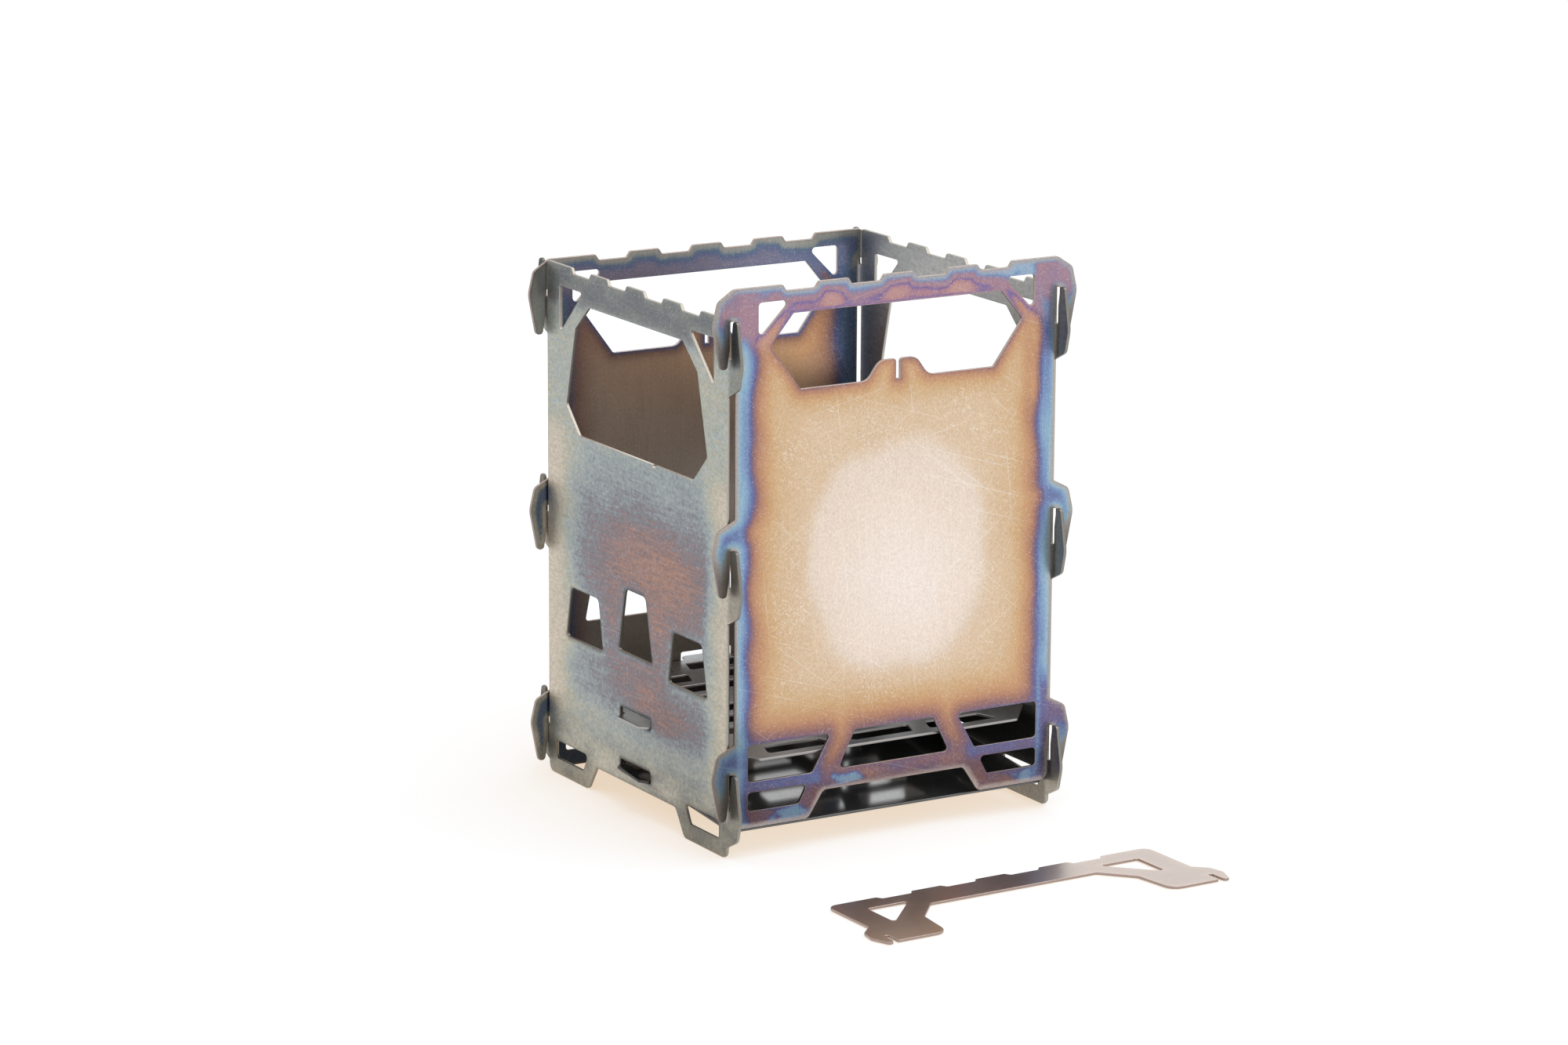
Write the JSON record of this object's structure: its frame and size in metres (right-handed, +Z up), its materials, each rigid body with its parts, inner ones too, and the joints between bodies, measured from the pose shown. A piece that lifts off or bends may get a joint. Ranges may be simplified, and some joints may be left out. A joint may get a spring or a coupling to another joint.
{
  "type": "twig stove",
  "caption": "Flat-pack sheet-metal twig stove: lapped wall panels with windows and feet, a slotted fire grate, an ash plate and a loose notched pot bar; the front wall is lifted part-way out.",
  "frame": {"origin": "on the floor, at the bottom centre of the box around the stove and its loose pot bar; the fire box is centred 42.3 mm behind it", "axes": "+X along the front panel to the right as seen from the front, +Y to the back, +Z up"},
  "size_m": [0.1238, 0.2087, 0.1689],
  "materials": {
    "front_sheet": "heat-tinted bare titanium, satin, straw centre with purple and blue edges",
    "back_sheet": "heat-tinted bare titanium, satin, brown with blue edges",
    "side_sheet": "heat-tinted bare titanium, dull grey-green with a mauve patch",
    "grate_sheet": "heat-darkened bare titanium, satin",
    "ash_sheet": "heat-darkened bare titanium, half gloss",
    "bar_sheet": "heat-tinted bare titanium, grey-brown"
  },
  "bodies": {
    "stove": {"left_panel": "side_sheet", "right_panel": "side_sheet", "back_panel": "back_sheet", "fire_grate": "grate_sheet"},
    "front": {"front_panel": "front_sheet"},
    "ash": {"ash_plate": "ash_sheet"},
    "bar": {"pot_bar": "bar_sheet"}
  },
  "joints": [
    {"name": "front_lift", "type": "slide", "parent": "stove", "child": "front", "axis": [0, 0, 1], "range_m": [-0.0089, 0.0171]},
    {"name": "ash_rock", "type": "hinge", "parent": "stove", "child": "ash", "pos_m": [0, 0.0423, 0.0124], "axis": [1, 0, 0], "range_deg": [-9.4, 0]},
    {"name": "bar_pick", "type": "slide", "parent": "stove", "child": "bar", "axis": [0, 0, 1], "range_m": [0, 0.06]}
  ]
}
